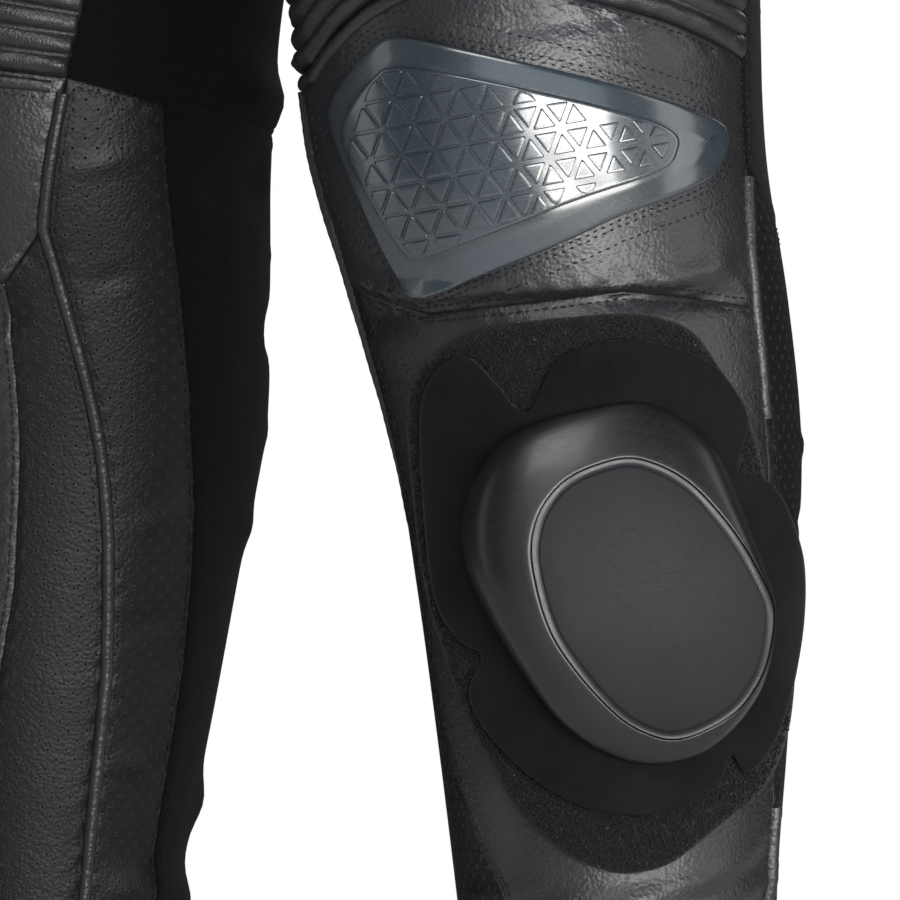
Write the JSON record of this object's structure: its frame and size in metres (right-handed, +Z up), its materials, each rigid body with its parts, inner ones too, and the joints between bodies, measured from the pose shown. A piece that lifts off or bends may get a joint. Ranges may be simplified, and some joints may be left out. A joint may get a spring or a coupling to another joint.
{
  "type": "leather motorcycle pants",
  "caption": "Race-style leather motorcycle pants, filled out and hollow, with hard knee plates, knee sliders, ribbed stretch panels and piped seams.",
  "frame": {"origin": "middle of the waist opening, at the top edge of the waistband", "axes": "+Z up, the front faces -Y, the wearer's left leg at +X"},
  "size_m": [0.5028, 0.2713, 0.9802],
  "materials": {
    "leather": "pebbled black cowhide, satin",
    "rib_leather": "ribbed black stretch leather",
    "stretch_textile": "matte black woven stretch textile",
    "plate_plastic": "smoked dark satin plastic",
    "insert_plastic": "dark plastic with raised triangles",
    "loop_pile": "fuzzy black loop pile",
    "slider_backing": "matte suede-like backing",
    "slider_plastic": "matte black moulded plastic",
    "slider_face": "charcoal moulded plastic",
    "snap_metal": "gunmetal"
  },
  "bodies": {
    "root": {"left_thigh_front": "leather", "left_thigh_back": "leather", "left_inner_thigh": "stretch_textile", "left_outer_stretch": "stretch_textile", "left_accordion_inner": "rib_leather", "left_accordion_outer": "rib_leather", "left_accordion_strip": "leather", "left_knee_panel": "leather", "left_knee_plate": "plate_plastic", "left_knee_insert": "insert_plastic", "left_shin_front": "leather", "left_shin_perforated": "leather", "left_calf_perforated_inner": "leather", "left_calf_perforated_outer": "leather", "left_calf_stretch": "stretch_textile", "left_piping_inner": "leather", "left_piping_outer_upper": "leather", "left_piping_outer_lower": "leather", "left_loop_patch": "loop_pile", "left_slider_base": "slider_backing", "left_slider_puck": "slider_plastic", "left_slider_face": "slider_face", "left_hem_band": "leather", "right_thigh_front": "leather", "right_thigh_back": "leather", "right_inner_thigh": "stretch_textile", "right_outer_stretch": "stretch_textile", "right_accordion_inner": "rib_leather", "right_accordion_outer": "rib_leather", "right_accordion_strip": "leather", "right_knee_panel": "leather", "right_knee_plate": "plate_plastic", "right_knee_insert": "insert_plastic", "right_shin_front": "leather", "right_shin_perforated": "leather", "right_calf_perforated_inner": "leather", "right_calf_perforated_outer": "leather", "right_calf_stretch": "stretch_textile", "right_piping_inner": "leather", "right_piping_outer_upper": "leather", "right_piping_outer_lower": "leather", "right_loop_patch": "loop_pile", "right_slider_base": "slider_backing", "right_slider_puck": "slider_plastic", "right_slider_face": "slider_face", "right_hem_band": "leather", "waistband": "leather", "fly_placket": "leather", "waist_snap": "snap_metal"}
  },
  "joints": []
}
